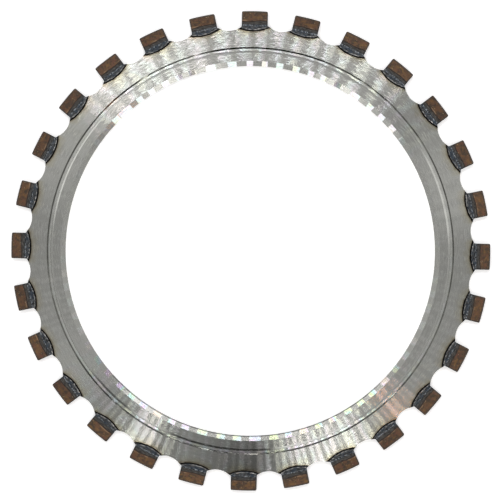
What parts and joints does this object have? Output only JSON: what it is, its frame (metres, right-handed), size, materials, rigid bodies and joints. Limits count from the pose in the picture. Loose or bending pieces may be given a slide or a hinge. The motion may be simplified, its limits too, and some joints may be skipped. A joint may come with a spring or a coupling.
{
  "type": "ring saw blade",
  "caption": "Flat steel ring saw blade with a V-shaped inner edge, a guide groove in each face and diamond segments welded to hollow seats round its rim",
  "frame": {"origin": "on the blade's axis, in the plane of the segments' lower faces, on which it lies", "axes": "+Z is the blade's axis and points up; +Y runs through the middle of segment_01; the segments follow clockwise seen from above"},
  "size_m": [0.35, 0.35, 0.0048],
  "materials": {
    "core_steel": "turned and ground bare steel",
    "diamond_segment": "sintered metal powder with diamond grit, matt brown",
    "weld_metal": "dark rippled laser weld"
  },
  "bodies": {
    "root": {"steel_core": "core_steel", "segment_01": "diamond_segment", "segment_02": "diamond_segment", "segment_03": "diamond_segment", "segment_04": "diamond_segment", "segment_05": "diamond_segment", "segment_06": "diamond_segment", "segment_07": "diamond_segment", "segment_08": "diamond_segment", "segment_09": "diamond_segment", "segment_10": "diamond_segment", "segment_11": "diamond_segment", "segment_12": "diamond_segment", "segment_13": "diamond_segment", "segment_14": "diamond_segment", "segment_15": "diamond_segment", "segment_16": "diamond_segment", "segment_17": "diamond_segment", "segment_18": "diamond_segment", "segment_19": "diamond_segment", "segment_20": "diamond_segment", "segment_21": "diamond_segment", "segment_22": "diamond_segment", "segment_23": "diamond_segment", "segment_24": "diamond_segment", "segment_25": "diamond_segment", "segment_26": "diamond_segment", "segment_27": "diamond_segment", "segment_28": "diamond_segment", "weld_01": "weld_metal", "weld_02": "weld_metal", "weld_03": "weld_metal", "weld_04": "weld_metal", "weld_05": "weld_metal", "weld_06": "weld_metal", "weld_07": "weld_metal", "weld_08": "weld_metal", "weld_09": "weld_metal", "weld_10": "weld_metal", "weld_11": "weld_metal", "weld_12": "weld_metal", "weld_13": "weld_metal", "weld_14": "weld_metal", "weld_15": "weld_metal", "weld_16": "weld_metal", "weld_17": "weld_metal", "weld_18": "weld_metal", "weld_19": "weld_metal", "weld_20": "weld_metal", "weld_21": "weld_metal", "weld_22": "weld_metal", "weld_23": "weld_metal", "weld_24": "weld_metal", "weld_25": "weld_metal", "weld_26": "weld_metal", "weld_27": "weld_metal", "weld_28": "weld_metal"}
  },
  "joints": []
}
